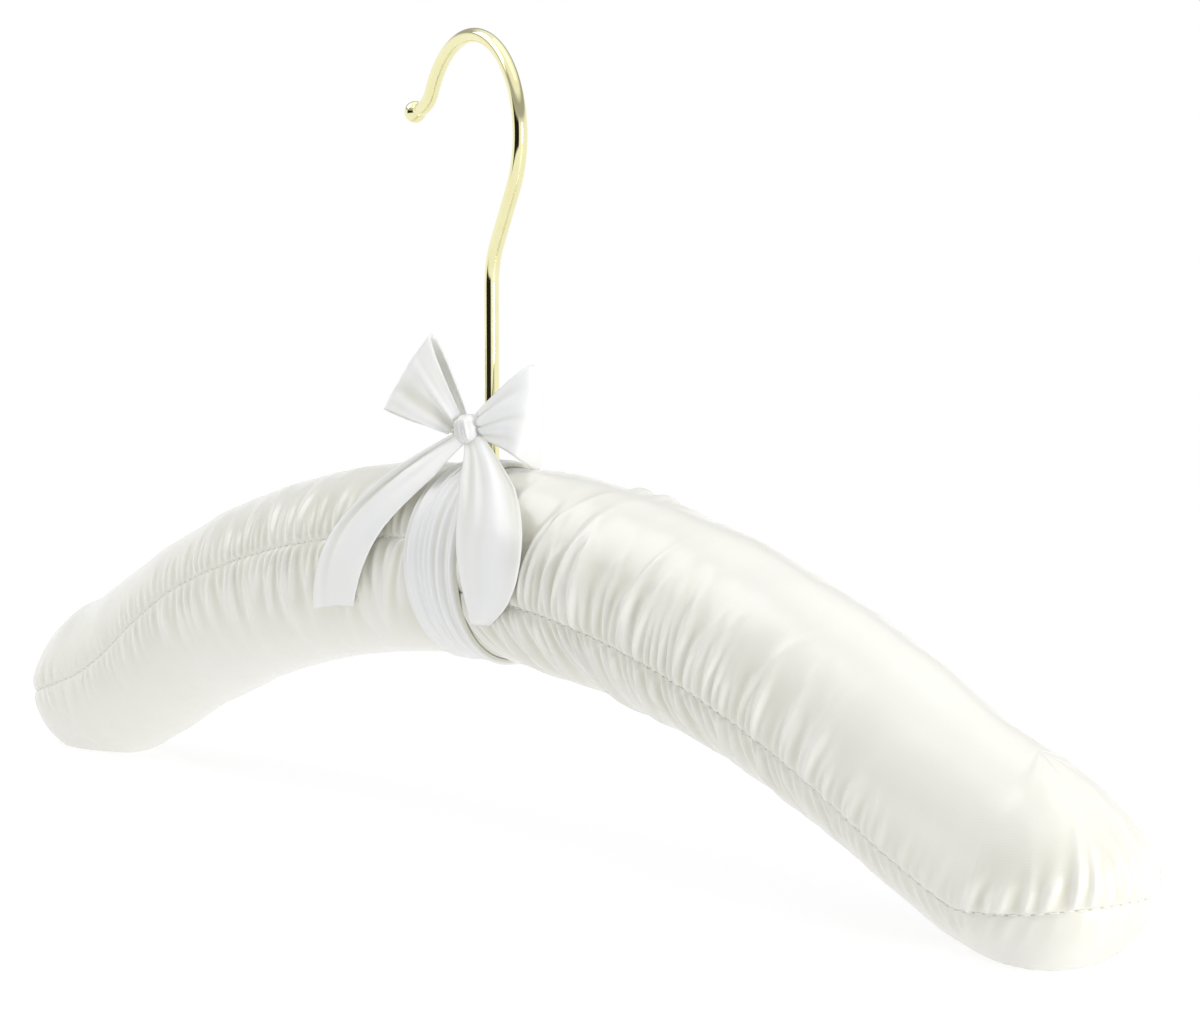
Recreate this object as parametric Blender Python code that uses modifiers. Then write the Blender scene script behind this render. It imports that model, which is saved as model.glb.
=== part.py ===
"""Padded satin clothes hanger with a ribbon bow and a swivelling wire hook.

Metres, +Z up. +X runs along the arms, -Y is the front, where the bow is tied.
The origin is on the surface that the hanger stands on, under the hook's stem.
"""
import math

import bmesh
import bpy
from mathutils import Matrix, Vector

# Driving dimensions of the padded body.
HANGER_LENGTH = 0.380
ARCH_RADIUS = 0.306          # bend of each arm, from the middle outwards
ARM_END_RADIUS = 0.200       # opposite bend that levels the end of the arm
END_SLOPE = math.radians(19.4)
CAP_LENGTH = 0.030           # blunt end beyond the arm's last full section
CAP_SQUARENESS = 3.3         # 2 is an elliptical end seen from above, more is squarer
HALF_HEIGHT_MID = 0.0223
HALF_HEIGHT_END = 0.0212
HALF_WIDTH_MID = 0.0178
HALF_WIDTH_END = 0.0158
FOOT_SAG = 0.0019            # how far the padding squashes flat where it stands
COVER_THICKNESS = 0.0010
COVER_START = 0.0045         # mouth of each sleeve, measured from the middle
WAIST_DEPTH = 0.0008
WAIST_LENGTH = 0.016
PADDING_SPLIT = 0.0004
SEAM_TURN = math.radians(22)  # seam below the side of the arm at one end of the hanger, above it at the other
SEAM_THREAD_DIAMETER = 0.0009

# Wooden core.
CORE_REACH = 0.150
CORE_HEIGHT_MID = 0.020
CORE_HEIGHT_END = 0.014
CORE_THICKNESS = 0.010
CORE_EDGE_ROUND = 0.0015

# Hook and what holds it.
WIRE_DIAMETER = 0.0034
STEM_TOP_LIFT = 0.0631       # top of the straight stem above the arms' middle line
LOWER_BEND_RADIUS = 0.018
HOOK_RADIUS = 0.0232
HOOK_CENTRE_U = -0.0094
HOOK_CENTRE_LIFT = 0.0969    # centre of the hook's bend above the same line
HOOK_ARC_END = math.radians(151)
TIP_BEND_RADIUS = 0.008
TIP_BEND_TURN = math.radians(50)
TIP_STRAIGHT = 0.0035
HOOK_TURN = math.radians(-10)
BALL_WALL = 0.0006
BORE_CLEARANCE = 0.0004
EYELET_WALL = 0.0006
EYELET_LENGTH = 0.005
EYELET_FLANGE = 0.0022
EYELET_FLANGE_THICKNESS = 0.0007
WASHER_DIAMETER = 0.0095
WASHER_THICKNESS = 0.0008
NUT_ACROSS_CORNERS = 0.0078
NUT_THICKNESS = 0.0024
STEM_PROUD = 0.0008          # stem end below the nut
COUNTERBORE_MARGIN = 0.0006

# Ribbon.
BAND_HALF_LENGTH = 0.0100
BAND_THICKNESS = 0.0010
BAND_HOLE_CLEARANCE = 0.0008
RIBBON_THICKNESS = 0.0008
RIBBON_WIDTH = 0.023
RIBBON_PINCH = 0.0060        # ribbon width where it enters the knot
KNOT_SIZE = (0.0090, 0.0062, 0.0080)
KNOT_LIFT = 0.0035           # knot's underside above the band
NECK_LOOP_HEIGHT = 0.0050
LOOP_BULGE = 0.0045
LEFT_LOOP = {"reach": 0.0190, "rise": math.radians(35)}
RIGHT_LOOP = {"reach": 0.0150, "rise": math.radians(4)}
LOOP_DROP = 0.0025            # the loops' lower edges come this far below the band's top
TAIL_PUFF = 0.0020
LEFT_TAIL = {"runs": (0.0060, 0.0250, 0.0390), "halves": (0.0030, 0.0095, 0.0085), "low": math.radians(-25)}
RIGHT_TAIL = {"runs": (0.0060, 0.0235, 0.0185), "halves": (0.0030, 0.0120, 0.0050), "low": math.radians(-28)}
TAIL_TOP = math.radians(64)

# Clearance between any two touching pieces.
FIT_GAP = 0.0003
BAND_GAP = 1.5 * FIT_GAP      # half a gap more, because each cover stands half a gap out

# Values that follow from the ones above.
WIRE_RADIUS = WIRE_DIAMETER / 2
ARM_END_X = HANGER_LENGTH / 2 - CAP_LENGTH * math.cos(END_SLOPE)
ARCH_ANGLE = math.asin((ARM_END_X + ARM_END_RADIUS * math.sin(END_SLOPE)) / (ARCH_RADIUS + ARM_END_RADIUS))
ARCH_RUN = ARCH_RADIUS * ARCH_ANGLE
ARM_RUN = ARCH_RUN + ARM_END_RADIUS * (ARCH_ANGLE - END_SLOPE)
BALL_RADIUS = WIRE_RADIUS + FIT_GAP + BALL_WALL
BORE_RADIUS = WIRE_RADIUS + BORE_CLEARANCE
EYELET_RADIUS = BORE_RADIUS + EYELET_WALL
FLANGE_RADIUS = EYELET_RADIUS + EYELET_FLANGE

SATIN = (0.90, 0.83, 0.70)
RIBBON = (0.92, 0.89, 0.83)
GOLD = (0.83, 0.66, 0.32)
STEEL = (0.62, 0.62, 0.60)
WOOD = (0.62, 0.44, 0.26)
WADDING = (0.93, 0.92, 0.88)
THREAD = (0.88, 0.82, 0.70)


def clear_scene():
    """Remove whatever the file opened with."""
    for item in list(bpy.data.objects):
        bpy.data.objects.remove(item)


def new_collection(name):
    group = bpy.data.collections.new(name)
    bpy.context.scene.collection.children.link(group)
    return group


def new_material(name, colour, roughness, metallic=0.0):
    material = bpy.data.materials.new(name)
    material.use_nodes = True
    shader = material.node_tree.nodes["Principled BSDF"]
    shader.inputs["Base Color"].default_value = (*colour, 1.0)
    shader.inputs["Roughness"].default_value = roughness
    shader.inputs["Metallic"].default_value = metallic
    return material


def add_object(name, mesh, look):
    """Link a mesh or curve into the hanger's collection with its own material."""
    item = bpy.data.objects.new(name, mesh)
    PARTS.objects.link(item)
    mesh.materials.append(new_material(name, *look))
    return item


def add_cutter(name, mesh):
    item = bpy.data.objects.new(name, mesh)
    CUTTERS.objects.link(item)
    item.hide_render = True
    item.display_type = "WIRE"
    return item


def cut(item, cutter):
    """Take the cutter's shape out of the piece."""
    modifier = item.modifiers.new("cut " + cutter.name, "BOOLEAN")
    modifier.operation = "DIFFERENCE"
    modifier.solver = "EXACT"
    modifier.object = cutter


def thicken(item, thickness, offset):
    modifier = item.modifiers.new("thickness", "SOLIDIFY")
    modifier.thickness = thickness
    modifier.offset = offset
    modifier.use_even_offset = True


def smooth(mesh):
    mesh.shade_smooth()
    mesh.set_sharp_from_angle(angle=math.radians(40))


def cylinder_mesh(name, radius, low, high, segments=24):
    """Upright cylinder between two heights, on the Z axis."""
    shape = bmesh.new()
    middle = Matrix.Translation((0, 0, (low + high) / 2))
    bmesh.ops.create_cone(shape, cap_ends=True, segments=segments, radius1=radius, radius2=radius,
                          depth=high - low, matrix=middle)
    mesh = bpy.data.meshes.new(name)
    shape.to_mesh(mesh)
    shape.free()
    return mesh


def turned(name, profile, look, steps=28):
    """Revolve a closed profile of (radius, height) points about Z."""
    shape = bmesh.new()
    points = [shape.verts.new((radius, 0, height)) for radius, height in profile]
    for here, there in zip(points, points[1:] + points[:1]):
        shape.edges.new((here, there))
    mesh = bpy.data.meshes.new(name)
    shape.to_mesh(mesh)
    shape.free()
    item = add_object(name, mesh, look)
    screw = item.modifiers.new("turn", "SCREW")
    screw.steps = steps
    screw.render_steps = steps
    screw.use_merge_vertices = True
    screw.merge_threshold = 0.00001
    return item


def ring_profile(inner, outer, low, high):
    """Rectangle that runs down its outer side, then back up the inner one."""
    return [(outer, high), (outer, low), (inner, low), (inner, high)]


# --- The padded body as one surface, from which every soft piece takes its shape ---

def centre_line(run):
    """Point of the arm's middle line (x, z below the middle) and its slope, at a length along it."""
    if run <= ARCH_RUN:
        slope = run / ARCH_RADIUS
        return ARCH_RADIUS * math.sin(slope), ARCH_RADIUS * (math.cos(slope) - 1), slope
    slope = ARCH_ANGLE - (run - ARCH_RUN) / ARM_END_RADIUS
    x = ARCH_RADIUS * math.sin(ARCH_ANGLE) + ARM_END_RADIUS * (math.sin(ARCH_ANGLE) - math.sin(slope))
    z = ARCH_RADIUS * (math.cos(ARCH_ANGLE) - 1) + ARM_END_RADIUS * (math.cos(ARCH_ANGLE) - math.cos(slope))
    return x, z, slope


def section(run):
    """Half height and half width of the padded body, at a length along the arm."""
    share = (run / ARM_RUN) ** 2
    waist = WAIST_DEPTH * math.exp(-(run / WAIST_LENGTH) ** 2)
    half_height = HALF_HEIGHT_MID + (HALF_HEIGHT_END - HALF_HEIGHT_MID) * share - waist
    half_width = HALF_WIDTH_MID + (HALF_WIDTH_END - HALF_WIDTH_MID) * share - waist
    return half_height, half_width


def middle_height():
    """Height of the middle line that leaves the feet squashed by FOOT_SAG."""
    x, z, slope = centre_line(ARM_RUN)
    return math.hypot(CAP_LENGTH * math.sin(slope), HALF_HEIGHT_END * math.cos(slope)) - z - FOOT_SAG


MIDDLE_Z = middle_height()
STEM_TOP_Z = MIDDLE_Z + STEM_TOP_LIFT
HOOK_CENTRE_Z = MIDDLE_Z + HOOK_CENTRE_LIFT


def body_point(run, angle, out, side=1, cap=0.0, shift=0.0):
    """Point of the body's surface moved out by a distance.

    The angle is 0 at the front, a quarter turn at the top and half a turn at the back.
    cap goes from 0 at the last full section to 1 at the tip. A negative run is the other arm.
    """
    if run < 0:
        side = -side
        run = -run
    x, z, slope = centre_line(run)
    half_height, half_width = section(run)
    flatter = math.sqrt(max(0.0, 1 - cap * cap))
    narrower = max(0.0, 1 - cap ** CAP_SQUARENESS) ** (1 / CAP_SQUARENESS)
    up = (half_height + out) * flatter * math.sin(angle) + shift
    along = (CAP_LENGTH + out) * cap
    px = x + along * math.cos(slope) + up * math.sin(slope)
    pz = MIDDLE_Z + z - along * math.sin(slope) + up * math.cos(slope)
    py = -(half_width + out) * narrower * math.cos(angle)
    return Vector((side * px, py, max(pz, -out)))


def seam_angle(side, cap):
    """Angle of the front seam: turned one way on the right arm and the other on the left, level at the tips."""
    return -side * SEAM_TURN * (1 - cap * cap)


def stations(start, along=18, around=6):
    """(run, cap) pairs from a start near the middle to the tip, closer together towards the end."""
    rows = []
    for step in range(along + 1):
        share = 1 - (1 - step / along) ** 1.4
        rows.append((start + (ARM_RUN - start) * share, 0.0))
    rows += [(ARM_RUN, math.sin(math.pi / 2 * step / (around + 1))) for step in range(1, around + 1)]
    return rows


def grid_mesh(name, rows, tip=None, closed=False, flip=False):
    """Mesh from rows of points, each row closed or open, with an optional single tip point."""
    shape = bmesh.new()
    grid = [[shape.verts.new(point) for point in row] for row in rows]
    for lower, upper in zip(grid, grid[1:]):
        count = len(lower) if closed else len(lower) - 1
        for j in range(count):
            k = (j + 1) % len(lower)
            shape.faces.new((lower[j], upper[j], upper[k], lower[k]))
    if tip is not None:
        last = grid[-1]
        point = shape.verts.new(tip)
        for j in range(len(last) if closed else len(last) - 1):
            shape.faces.new((last[j], point, last[(j + 1) % len(last)]))
    if closed and tip is not None:
        shape.faces.new(grid[0])
    if flip:
        bmesh.ops.reverse_faces(shape, faces=shape.faces[:])
    mesh = bpy.data.meshes.new(name)
    shape.to_mesh(mesh)
    shape.free()
    return mesh


def add_cover(side, upper):
    """One satin panel: half of the sleeve, above or below the seam."""
    name = ("right" if side > 0 else "left") + ("_upper_cover" if upper else "_lower_cover")
    first = 0.0 if upper else math.pi
    shift = (FIT_GAP if upper else -FIT_GAP) / 2
    angles = [first + math.pi * step / 12 for step in range(13)]
    rows = [[body_point(run, angle + seam_angle(side, cap), 0, side, cap, shift) for angle in angles]
            for run, cap in stations(COVER_START)]
    tip = body_point(ARM_RUN, 0, 0, side, 1.0, shift)
    mesh = grid_mesh(name, rows, tip, flip=side < 0)
    cover = add_object(name, mesh, (SATIN, 0.35))
    thicken(cover, COVER_THICKNESS, -1)
    smooth(mesh)


def add_padding(side):
    """Wadding of one arm, with the core's channel and room for the stem."""
    name = "right_padding" if side > 0 else "left_padding"
    out = -(COVER_THICKNESS + 2 * FIT_GAP)
    angles = [2 * math.pi * step / 20 for step in range(20)]
    rows = [[body_point(run, angle, out, side, cap) for angle in angles]
            for run, cap in stations(PADDING_SPLIT / 2 + 0.00001, 14, 4)]
    tip = body_point(ARM_RUN, 0, out, side, 1.0)
    padding = add_object(name, grid_mesh(name, rows, tip, closed=True, flip=side < 0), (WADDING, 0.9))
    cut(padding, CORE_CHANNEL)
    cut(padding, FLANGE_RECESS)
    cut(padding, STEM_HOLE)
    smooth(padding.data)


def core_rows(grow):
    """Four-cornered sections of the wooden bar, from one end to the other."""
    rows = []
    reach = CORE_REACH + grow
    for step in range(-16, 17):
        run = reach * step / 16
        share = abs(run) / CORE_REACH
        tall = (CORE_HEIGHT_MID + (CORE_HEIGHT_END - CORE_HEIGHT_MID) * share) / 2 + grow
        thick = CORE_THICKNESS / 2 + grow
        x, z, slope = centre_line(abs(run))
        side = 1 if run >= 0 else -1
        row = []
        for up, depth in ((-tall, -thick), (tall, -thick), (tall, thick), (-tall, thick)):
            px = side * (x + up * math.sin(slope))
            row.append(Vector((px, depth, MIDDLE_Z + z + up * math.cos(slope))))
        rows.append(row)
    return rows


def core_mesh(name, grow):
    """The bar as a closed mesh, larger all round by grow."""
    rows = core_rows(grow)
    mesh = grid_mesh(name, rows, closed=True)
    shape = bmesh.new()
    shape.from_mesh(mesh)
    bmesh.ops.holes_fill(shape, edges=shape.edges[:], sides=4)
    bmesh.ops.recalc_face_normals(shape, faces=shape.faces[:])
    shape.to_mesh(mesh)
    shape.free()
    return mesh


def add_core():
    """Wooden bar with the stem's bore, the eyelet's seat and the nut's counterbore."""
    core = add_object("wooden_core", core_mesh("wooden_core", 0), (WOOD, 0.6))
    bevel = core.modifiers.new("edges", "BEVEL")
    bevel.width = CORE_EDGE_ROUND
    bevel.segments = 2
    bevel.limit_method = "ANGLE"
    bevel.angle_limit = math.radians(50)
    top = MIDDLE_Z + CORE_HEIGHT_MID / 2
    cut(core, add_cutter("stem_bore", cylinder_mesh("stem_bore", BORE_RADIUS, WIRE_END_Z - 0.02, top + 0.01)))
    seat = cylinder_mesh("eyelet_seat", EYELET_RADIUS + FIT_GAP, top - EYELET_LENGTH - FIT_GAP, top + 0.01)
    cut(core, add_cutter("eyelet_seat", seat))
    pocket_radius = max(WASHER_DIAMETER, NUT_ACROSS_CORNERS) / 2 + COUNTERBORE_MARGIN
    bottom = MIDDLE_Z - CORE_HEIGHT_MID / 2
    pocket = cylinder_mesh("nut_pocket", pocket_radius, bottom - 0.01, POCKET_TOP_Z)
    cut(core, add_cutter("nut_pocket", pocket))
    smooth(core.data)


def add_eyelet():
    """Brass eyelet that lines the top of the stem's bore."""
    top = MIDDLE_Z + CORE_HEIGHT_MID / 2
    shelf = top + FIT_GAP
    high = shelf + EYELET_FLANGE_THICKNESS
    profile = [(FLANGE_RADIUS, high), (FLANGE_RADIUS, shelf), (EYELET_RADIUS, shelf),
               (EYELET_RADIUS, top - EYELET_LENGTH), (BORE_RADIUS, top - EYELET_LENGTH), (BORE_RADIUS, high)]
    turned("stem_eyelet", profile, (GOLD, 0.3, 1.0))


def add_washer_and_nut(pivot):
    """Washer under the core and the nut that keeps the stem from pulling out."""
    washer_top = POCKET_TOP_Z - FIT_GAP
    profile = ring_profile(BORE_RADIUS, WASHER_DIAMETER / 2, washer_top - WASHER_THICKNESS, washer_top)
    turned("stem_washer", profile, (STEEL, 0.35, 1.0))
    nut_top = washer_top - WASHER_THICKNESS - FIT_GAP
    shape = cylinder_mesh("stem_nut", NUT_ACROSS_CORNERS / 2, nut_top - NUT_THICKNESS, nut_top, segments=6)
    nut = add_object("stem_nut", shape, (STEEL, 0.4, 1.0))
    nut.parent = pivot
    hole = cylinder_mesh("nut_bore", WIRE_RADIUS + FIT_GAP, nut_top - 0.01, nut_top + 0.01)
    bore = add_cutter("nut_bore", hole)
    bore.parent = pivot
    cut(nut, bore)


POCKET_DEPTH = 3 * FIT_GAP + WASHER_THICKNESS + NUT_THICKNESS + STEM_PROUD
POCKET_TOP_Z = MIDDLE_Z - CORE_HEIGHT_MID / 2 + POCKET_DEPTH
WIRE_END_Z = POCKET_TOP_Z - POCKET_DEPTH + FIT_GAP


# --- Hook ---

def arc(centre, radius, start, end, steps):
    """Points (u, z) of an arc, the first one left out."""
    points = []
    for step in range(1, steps + 1):
        angle = start + (end - start) * step / steps
        points.append((centre[0] + radius * math.cos(angle), centre[1] + radius * math.sin(angle)))
    return points


def hook_path():
    """Middle line of the wire in the hook's own plane, from the stem's end to the tip, and its last direction."""
    points = [(0.0, WIRE_END_Z), (0.0, (WIRE_END_Z + STEM_TOP_Z) / 2), (0.0, STEM_TOP_Z)]
    rise = HOOK_CENTRE_Z - STEM_TOP_Z
    run = LOWER_BEND_RADIUS - HOOK_CENTRE_U
    reach = math.hypot(rise, run)
    lean = math.atan2(rise, run) - math.acos((HOOK_RADIUS + LOWER_BEND_RADIUS) / reach)
    points += arc((LOWER_BEND_RADIUS, STEM_TOP_Z), LOWER_BEND_RADIUS, math.pi, math.pi - lean, 5)
    centre = (HOOK_CENTRE_U, HOOK_CENTRE_Z)
    points += arc(centre, HOOK_RADIUS, -lean, -lean + 0.001, 1)
    points += arc(centre, HOOK_RADIUS, -lean, HOOK_ARC_END, 24)
    out = HOOK_RADIUS + TIP_BEND_RADIUS
    turn_centre = (centre[0] + out * math.cos(HOOK_ARC_END), centre[1] + out * math.sin(HOOK_ARC_END))
    start = HOOK_ARC_END - math.pi
    points += arc(turn_centre, TIP_BEND_RADIUS, start, start - TIP_BEND_TURN, 6)
    heading = HOOK_ARC_END + math.pi / 2 - TIP_BEND_TURN
    direction = (math.cos(heading), math.sin(heading))
    last = points[-1]
    points.append((last[0] + TIP_STRAIGHT * direction[0], last[1] + TIP_STRAIGHT * direction[1]))
    return points, direction


def tube(name, points, radius, look, parent=None):
    """Round wire or thread along a list of points."""
    curve = bpy.data.curves.new(name, "CURVE")
    curve.dimensions = "3D"
    curve.resolution_u = 1
    curve.render_resolution_u = 0
    curve.bevel_depth = radius
    curve.bevel_resolution = 2
    curve.use_fill_caps = True
    spline = curve.splines.new("POLY")
    spline.points.add(len(points) - 1)
    for target, point in zip(spline.points, points):
        target.co = (point[0], point[1], point[2], 1)
    item = add_object(name, curve, look)
    item.parent = parent
    return item


def add_hook():
    """Wire hook on its upright swivel axis, with the ball on its tip."""
    pivot = bpy.data.objects.new("hook_pivot", None)
    PARTS.objects.link(pivot)
    pivot.rotation_euler = (0, 0, HOOK_TURN)
    points, direction = hook_path()
    tube("hook_wire", [(u, 0, z) for u, z in points], WIRE_RADIUS, (GOLD, 0.15, 1.0), pivot)
    axis = Vector((direction[0], 0, direction[1]))
    tip = Vector((points[-1][0], 0, points[-1][1]))
    middle = tip + axis * FIT_GAP
    place = Matrix.Translation(middle) @ axis.to_track_quat("Z", "Y").to_matrix().to_4x4()
    shape = bmesh.new()
    bmesh.ops.create_uvsphere(shape, u_segments=24, v_segments=14, radius=BALL_RADIUS)
    mesh = bpy.data.meshes.new("hook_tip_ball")
    shape.to_mesh(mesh)
    shape.free()
    ball = add_object("hook_tip_ball", mesh, (GOLD, 0.15, 1.0))
    ball.parent = pivot
    ball.matrix_local = place
    socket = add_cutter("ball_socket", cylinder_mesh("ball_socket", WIRE_RADIUS + FIT_GAP, -2 * BALL_RADIUS, 0))
    socket.parent = pivot
    socket.matrix_local = place
    cut(ball, socket)
    smooth(mesh)
    return pivot


# --- Seam thread, band and bow ---

def add_seam_thread(side):
    """Sewing thread along the seam: out on the front, round the end and back behind."""
    name = "right_seam_thread" if side > 0 else "left_seam_thread"
    radius = SEAM_THREAD_DIAMETER / 2
    out = FIT_GAP + radius
    start = BAND_HALF_LENGTH + 2 * FIT_GAP + radius
    front = [body_point(run, seam_angle(side, cap), out, side, cap) for run, cap in stations(start, 14, 6)]
    back = [body_point(run, math.pi + seam_angle(side, cap), out, side, cap) for run, cap in stations(start, 14, 6)]
    tip = body_point(ARM_RUN, 0, out, side, 1.0)
    tube(name, front + [tip] + back[::-1], radius, (THREAD, 0.5))


def add_band():
    """Pleated ribbon band round the middle, with a hole for the stem."""
    angles = [2 * math.pi * step / 36 for step in range(36)]
    runs = [BAND_HALF_LENGTH * step / 3 for step in range(-3, 4)]
    rows = [[body_point(run, angle, BAND_GAP) for angle in angles] for run in runs]
    band = add_object("centre_band", grid_mesh("centre_band", rows, closed=True), (RIBBON, 0.4))
    thicken(band, BAND_THICKNESS, 1)
    hole = cylinder_mesh("band_hole", WIRE_RADIUS + BAND_HOLE_CLEARANCE, MIDDLE_Z, BAND_TOP_Z + 0.01)
    cut(band, add_cutter("band_hole", hole))
    smooth(band.data)


BAND_TOP_Z = MIDDLE_Z + section(0)[0] + BAND_GAP + BAND_THICKNESS
KNOT_Z = BAND_TOP_Z + KNOT_LIFT + KNOT_SIZE[2] / 2
LOOP_Z = BAND_TOP_Z + RIBBON_WIDTH / 2 - LOOP_DROP
NECK_INNER = WIRE_RADIUS + FIT_GAP
KNOT_Y = -(NECK_INNER + RIBBON_THICKNESS + FIT_GAP + KNOT_SIZE[1] / 2)


def add_neck_loop():
    """Turn of ribbon round the stem, behind the knot."""
    low = KNOT_Z - NECK_LOOP_HEIGHT / 2
    profile = ring_profile(NECK_INNER, NECK_INNER + RIBBON_THICKNESS, low, low + NECK_LOOP_HEIGHT)
    turned("ribbon_neck_loop", profile, (RIBBON, 0.4))


def add_knot():
    """Knot of the bow, just in front of the stem."""
    shape = bmesh.new()
    size = Matrix.Diagonal((*KNOT_SIZE, 1))
    bmesh.ops.create_cube(shape, size=1, matrix=size)
    bmesh.ops.bevel(shape, geom=shape.edges[:], offset=0.0018, segments=3, affect="EDGES", profile=0.5)
    mesh = bpy.data.meshes.new("ribbon_knot")
    shape.to_mesh(mesh)
    shape.free()
    knot = add_object("ribbon_knot", mesh, (RIBBON, 0.4))
    knot.location = (0, KNOT_Y, KNOT_Z)
    smooth(mesh)


def add_loop(name, side, reach, rise):
    """Loop of the bow: out in front, folded over and back behind, pinched at the knot."""
    ahead = Vector((side * math.cos(rise), 0, math.sin(rise)))
    across = Vector((-side * math.sin(rise), 0, math.cos(rise)))
    leg = RIBBON_THICKNESS + FIT_GAP
    beside = KNOT_SIZE[0] / 2 + FIT_GAP + RIBBON_THICKNESS + RIBBON_PINCH / 2 * math.sin(rise)
    root = Vector((side * beside, KNOT_Y, LOOP_Z))
    rows = []
    for step in range(25):
        turn = math.pi * step / 24
        depth = -LOOP_BULGE * math.sin(2 * turn) - leg * math.cos(turn)
        middle = root + ahead * reach * math.sin(turn) + Vector((0, depth, 0))
        half = (RIBBON_PINCH + (RIBBON_WIDTH - RIBBON_PINCH) * math.sin(turn)) / 2
        rows.append([middle + across * half * share for share in (-1, -0.5, 0, 0.5, 1)])
    loop = add_object(name, grid_mesh(name, rows), (RIBBON, 0.4))
    thicken(loop, RIBBON_THICKNESS, 0)
    smooth(loop.data)


def through(values, share):
    """Smooth curve through three values, at the start, halfway and at the end."""
    first, middle, last = values
    return (first * (1 - share) * (1 - 2 * share) + 4 * middle * share * (1 - share)
            + last * share * (2 * share - 1))


def add_tail(name, side, runs, halves, low):
    """Tail of the bow: from under the knot, spreading down the front of the arm."""
    rest = BAND_GAP + BAND_THICKNESS + FIT_GAP + RIBBON_THICKNESS / 2
    rows = []
    for step in range(17):
        share = step / 16
        angle = TAIL_TOP + (low - TAIL_TOP) * share
        run = through(runs, share)
        wide = through(halves, share)
        out = rest + TAIL_PUFF * math.sin(math.pi * share) ** 2
        rows.append([body_point(run + wide * step_across / 4, angle, out, side) for step_across in range(-4, 5)])
    tail = add_object(name, grid_mesh(name, rows), (RIBBON, 0.4))
    thicken(tail, RIBBON_THICKNESS, 0)
    smooth(tail.data)


clear_scene()
PARTS = new_collection("padded_hanger")
CUTTERS = new_collection("cutters")
CORE_CHANNEL = add_cutter("core_channel", core_mesh("core_channel", FIT_GAP))
CORE_TOP_Z = MIDDLE_Z + CORE_HEIGHT_MID / 2
FLANGE_TOP_Z = CORE_TOP_Z + 2 * FIT_GAP + EYELET_FLANGE_THICKNESS
FLANGE_RECESS = add_cutter("flange_recess", cylinder_mesh("flange_recess", FLANGE_RADIUS + FIT_GAP,
                                                          CORE_TOP_Z - 0.002, FLANGE_TOP_Z))
STEM_HOLE = add_cutter("stem_hole", cylinder_mesh("stem_hole", BORE_RADIUS + FIT_GAP, CORE_TOP_Z, BAND_TOP_Z + 0.01))
add_core()
add_eyelet()
hook_pivot = add_hook()
add_washer_and_nut(hook_pivot)
for arm in (1, -1):
    add_padding(arm)
    add_cover(arm, upper=True)
    add_cover(arm, upper=False)
    add_seam_thread(arm)
add_band()
add_neck_loop()
add_knot()
add_loop("ribbon_left_loop", -1, **LEFT_LOOP)
add_loop("ribbon_right_loop", 1, **RIGHT_LOOP)
add_tail("ribbon_left_tail", -1, **LEFT_TAIL)
add_tail("ribbon_right_tail", 1, **RIGHT_TAIL)
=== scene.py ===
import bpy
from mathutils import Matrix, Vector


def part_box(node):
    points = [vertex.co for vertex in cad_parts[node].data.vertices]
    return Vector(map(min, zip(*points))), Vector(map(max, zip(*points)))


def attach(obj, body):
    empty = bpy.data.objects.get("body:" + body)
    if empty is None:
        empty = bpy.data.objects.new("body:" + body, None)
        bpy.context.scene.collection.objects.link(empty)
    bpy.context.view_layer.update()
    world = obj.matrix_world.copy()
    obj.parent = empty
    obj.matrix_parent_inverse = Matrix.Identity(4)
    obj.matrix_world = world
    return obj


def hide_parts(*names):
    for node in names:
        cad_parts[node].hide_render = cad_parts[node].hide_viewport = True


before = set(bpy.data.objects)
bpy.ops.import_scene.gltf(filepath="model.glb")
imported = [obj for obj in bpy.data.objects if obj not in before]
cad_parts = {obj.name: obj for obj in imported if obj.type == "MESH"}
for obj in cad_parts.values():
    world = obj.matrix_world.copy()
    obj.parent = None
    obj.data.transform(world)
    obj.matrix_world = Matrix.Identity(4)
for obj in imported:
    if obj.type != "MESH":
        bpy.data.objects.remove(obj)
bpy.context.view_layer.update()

import math

import bmesh
import bpy
import numpy as np
from mathutils import Matrix, Vector

MM = 0.001
QUARTER = math.pi / 2

# --- Sizes shared with the frame ---
BAND_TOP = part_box("centre_band")[1].z
BAND_LIFT = 1.45 * MM
KNOT_LOW, KNOT_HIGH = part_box("ribbon_knot")
WIRE_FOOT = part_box("hook_wire")[0].z
BALL_LOW, BALL_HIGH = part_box("hook_tip_ball")

HALF_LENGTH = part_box("right_upper_cover")[1].x
SLEEVE_START = 4.5 * MM
ARCH_RADIUS = 306 * MM
ARM_END_RADIUS = 200 * MM
END_SLOPE = math.radians(19.4)
CAP_LENGTH = 30 * MM
CAP_SQUARENESS = 3.3
HALF_HEIGHT_MID = 22.3 * MM
HALF_HEIGHT_END = 21.2 * MM
HALF_WIDTH_MID = 17.8 * MM
HALF_WIDTH_END = 15.8 * MM
WAIST_DEPTH = 0.8 * MM
WAIST_LENGTH = 16 * MM
BAND_HALF = 10 * MM
MIDDLE_Z = BAND_TOP - HALF_HEIGHT_MID + WAIST_DEPTH - BAND_LIFT
KNOT = (KNOT_LOW + KNOT_HIGH) / 2

ARM_END_X = HALF_LENGTH - CAP_LENGTH * math.cos(END_SLOPE)
ARCH_ANGLE = math.asin((ARM_END_X + ARM_END_RADIUS * math.sin(END_SLOPE)) / (ARCH_RADIUS + ARM_END_RADIUS))
ARCH_RUN = ARCH_RADIUS * ARCH_ANGLE
ARM_RUN = ARCH_RUN + ARM_END_RADIUS * (ARCH_ANGLE - END_SLOPE)


# --- Camera, floor and light ---

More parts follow.
